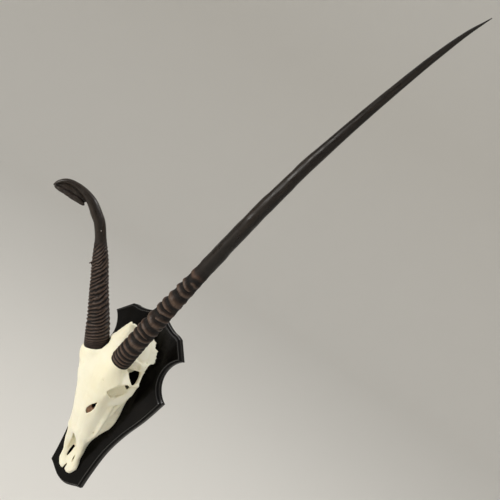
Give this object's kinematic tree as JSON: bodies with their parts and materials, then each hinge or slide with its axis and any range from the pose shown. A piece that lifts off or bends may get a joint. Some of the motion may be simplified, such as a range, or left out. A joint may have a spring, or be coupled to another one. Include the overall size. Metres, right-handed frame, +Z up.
{
  "type": "gemsbok skull mount",
  "caption": "Bleached gemsbok skull with a long straight ringed horn and a short deformed horn, mounted face out on a black moulded shield plaque that hangs on a wall.",
  "frame": {"origin": "middle of the plaque's flat back face, on the wall", "axes": "+X to the right of a viewer who faces the plaque, +Y into the wall, +Z up towards the tips of the horns"},
  "size_m": [0.6095, 0.2666, 1.2818],
  "materials": {
    "bone": "dry bleached bone, satin where it is dense",
    "horn": "dark brown ringed keratin, grey-black and smoother towards the tip, soft sheen",
    "horn_deformed": "dark brown ringed keratin with ragged layers at the hook",
    "lacquered_wood": "black gloss lacquer over wood",
    "steel": "zinc plated"
  },
  "bodies": {
    "root": {"plaque": "lacquered_wood", "skull": "bone", "horn_long": "horn", "horn_deformed": "horn_deformed", "hanger_plate": "steel", "hanger_screw_top": "steel", "hanger_screw_bottom": "steel", "skull_screw_top": "steel", "skull_screw_bottom": "steel"}
  },
  "joints": []
}
